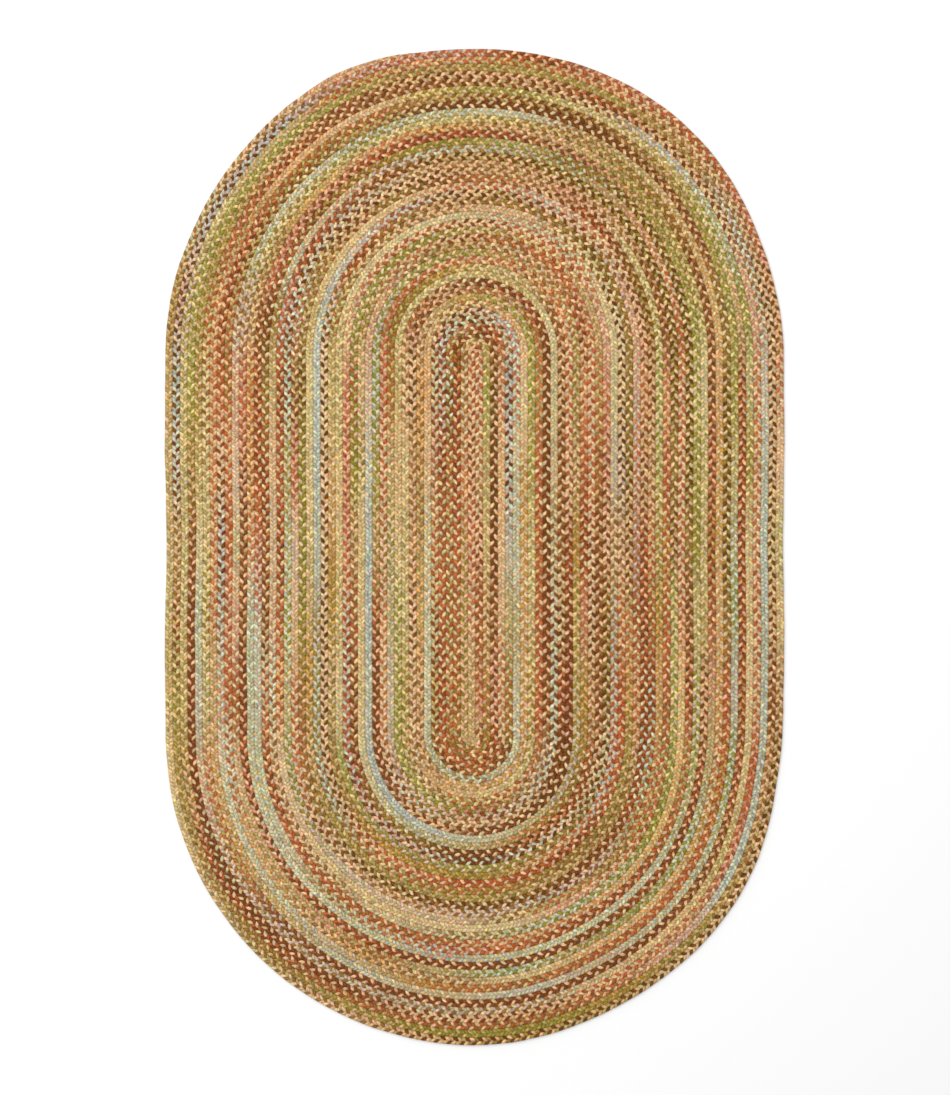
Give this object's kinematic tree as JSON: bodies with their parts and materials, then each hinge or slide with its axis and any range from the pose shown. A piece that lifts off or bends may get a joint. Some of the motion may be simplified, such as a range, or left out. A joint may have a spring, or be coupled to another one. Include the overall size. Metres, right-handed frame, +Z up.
{
  "type": "oval braided rug",
  "caption": "Oval braided floor rug, one long flat braid coiled clockwise round a straight seam and laced edge to edge, lying flat.",
  "frame": {"origin": "on the underside, at the middle of the rug's length and width", "axes": "+Y along the rug's length, towards the end where the braid's tail lies; +X to the right; +Z up, out of the top face"},
  "size_m": [1.5154, 2.4384, 0.0095],
  "materials": {
    "braid_yarn": "matt, heathered, space-dyed yarn"
  },
  "bodies": {
    "root": {"braided_rug": "braid_yarn"}
  },
  "joints": []
}
